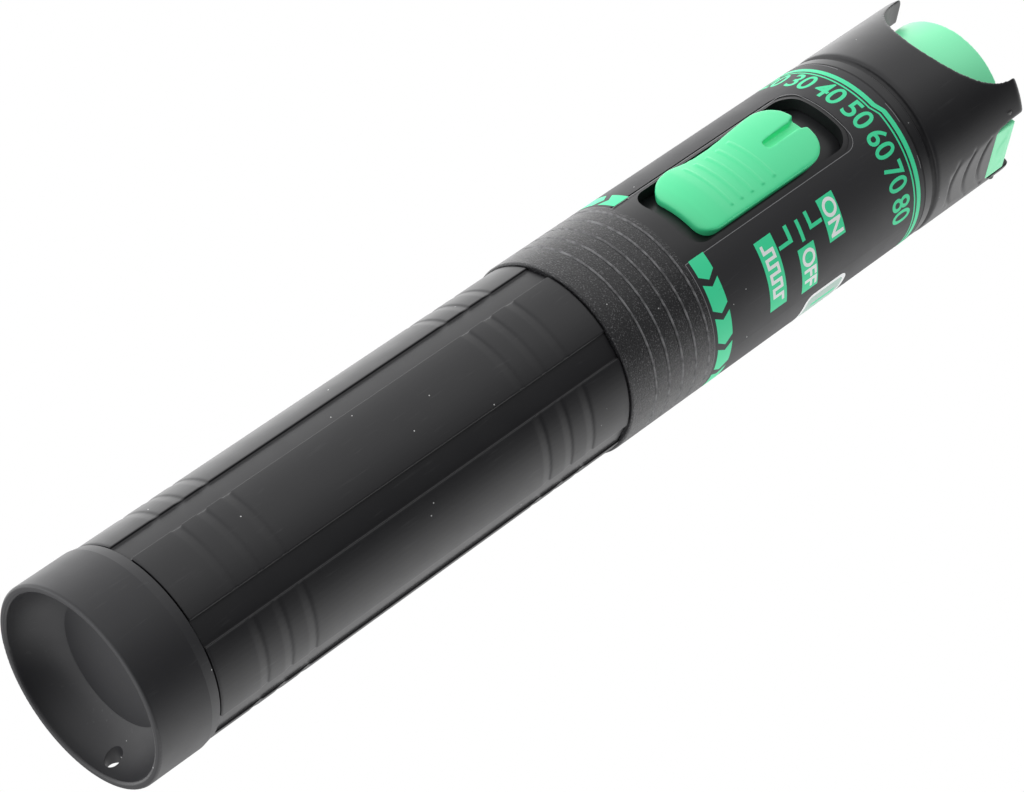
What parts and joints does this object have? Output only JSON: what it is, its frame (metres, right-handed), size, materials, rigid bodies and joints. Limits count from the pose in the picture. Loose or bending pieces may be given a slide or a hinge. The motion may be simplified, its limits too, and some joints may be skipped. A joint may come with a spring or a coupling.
{
  "type": "visual fault locator",
  "caption": "Pen-shaped fibre-optic fault locator with a ribbed grip, a thumb slide switch, a four-eared guard round its ferrule port and a hinged dust cap.",
  "frame": {"origin": "centre of the tail cup's rim, where the tool stands on a table", "axes": "+Z along the tool's axis from the tail cup to the port; the thumb slider faces -Y and the dust cap's hinge is on the +X side"},
  "size_m": [0.0298, 0.032, 0.1717],
  "materials": {
    "black_plastic": "matt moulded ABS",
    "black_gloss": "smooth satin plastic",
    "label_film": "matt printed film",
    "green_plastic": "bright green plastic, satin",
    "aluminium_tube": "turned",
    "cell_jacket": "printed jacket",
    "steel": "plated",
    "spring_steel": "nickel plated",
    "seal_rubber": "soft",
    "grey_plastic": "moulded",
    "board": "green solder mask",
    "chip": "moulded epoxy",
    "brass": "turned",
    "gold_contact": "gold plated",
    "lens_glass": "clear",
    "ceramic": "ground white ceramic"
  },
  "bodies": {
    "handle": {"tail_cup": "black_plastic", "grip_sleeve": "black_plastic", "battery_tube": "aluminium_tube", "spring_plate": "steel", "tail_spring": "spring_steel", "cell_rear": "cell_jacket", "cell_front": "cell_jacket"},
    "seal": {"seal_ring": "seal_rubber"},
    "head": {"front_housing": "black_gloss", "label_film": "label_film", "inner_carrier": "grey_plastic", "circuit_board": "board", "slide_switch": "steel", "control_chip": "chip", "board_screws": "steel", "contact_disc": "board", "contact_stud": "gold_contact", "laser_holder": "brass", "laser_can": "gold_contact", "collimating_lens": "lens_glass", "port_barrel": "steel", "alignment_sleeve": "ceramic", "collar_ring": "black_gloss", "crown_guard": "black_gloss", "hinge_pin": "steel"},
    "slider": {"thumb_slider": "green_plastic", "slider_shutter": "black_plastic", "switch_lever": "grey_plastic"},
    "cap": {"dust_cap": "green_plastic"}
  },
  "joints": [
    {"name": "head_lift", "type": "slide", "parent": "handle", "child": "seal", "axis": [0, 0, 1], "range_m": [0, 0.006]},
    {"name": "head_turn", "type": "hinge", "parent": "seal", "child": "head", "pos_m": [0, 0, 0.085], "axis": [0, 0, 1], "range_deg": [0, 1440]},
    {"name": "switch_slide", "type": "slide", "parent": "head", "child": "slider", "axis": [0, 0, 1], "range_m": [0, 0.0044]},
    {"name": "cap_flip", "type": "hinge", "parent": "head", "child": "cap", "pos_m": [0.0128, 0, 0.16825], "axis": [0, 1, 0], "range_deg": [0, 120]}
  ],
  "couplings": [
    {"joint": "head_turn", "follows": "head_lift", "rad_per_m": 4188.8}
  ]
}
